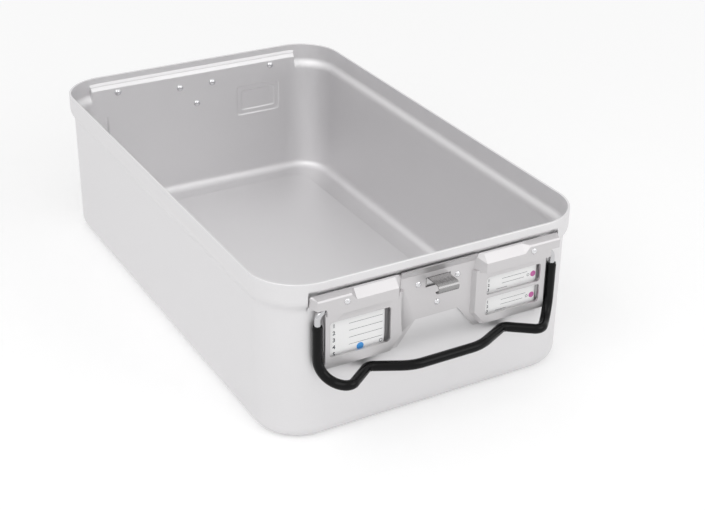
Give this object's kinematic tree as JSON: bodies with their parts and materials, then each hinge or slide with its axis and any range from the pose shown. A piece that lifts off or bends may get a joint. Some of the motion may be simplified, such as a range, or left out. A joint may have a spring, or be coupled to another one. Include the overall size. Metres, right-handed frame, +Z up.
{
  "type": "sterilization container",
  "caption": "Open rectangular sterilization container tub with swaged rim, riveted end brackets, label card windows, latch catches and swinging wire carry handles.",
  "frame": {"origin": "middle of the tub's footprint, on the surface it stands on", "axes": "+Z up out of the tub, X across its width, Y along its length with the front end at -Y"},
  "size_m": [0.28, 0.4988, 0.1365],
  "materials": {
    "tub_aluminium": "matt anodised",
    "bracket_aluminium": "satin anodised",
    "catch_steel": "brushed",
    "rivet_aluminium": "bright",
    "block_aluminium": "machined",
    "wire_steel": "polished stainless",
    "sleeve_rubber": "smooth silicone rubber",
    "label_card": "printed card"
  },
  "bodies": {
    "container": {"tub": "tub_aluminium", "front_handle_bracket": "bracket_aluminium", "front_latch_catch": "catch_steel", "front_catch_rivets": "rivet_aluminium", "front_bracket_rivets": "rivet_aluminium", "front_pin_blocks": "block_aluminium", "front_large_label": "label_card", "front_upper_label": "label_card", "front_lower_label": "label_card", "rear_handle_bracket": "bracket_aluminium", "rear_latch_catch": "catch_steel", "rear_catch_rivets": "rivet_aluminium", "rear_bracket_rivets": "rivet_aluminium", "rear_pin_blocks": "block_aluminium", "rear_large_label": "label_card", "rear_upper_label": "label_card", "rear_lower_label": "label_card"},
    "front_handle": {"front_handle_wire": "wire_steel", "front_handle_sleeve": "sleeve_rubber"},
    "rear_handle": {"rear_handle_wire": "wire_steel", "rear_handle_sleeve": "sleeve_rubber"}
  },
  "joints": [
    {"name": "front_handle_hinge", "type": "hinge", "parent": "container", "child": "front_handle", "pos_m": [0, -0.2295, 0.114], "axis": [-1, 0, 0], "range_deg": [0, 90]},
    {"name": "rear_handle_hinge", "type": "hinge", "parent": "container", "child": "rear_handle", "pos_m": [0, 0.2295, 0.114], "axis": [1, 0, 0], "range_deg": [0, 90]}
  ]
}
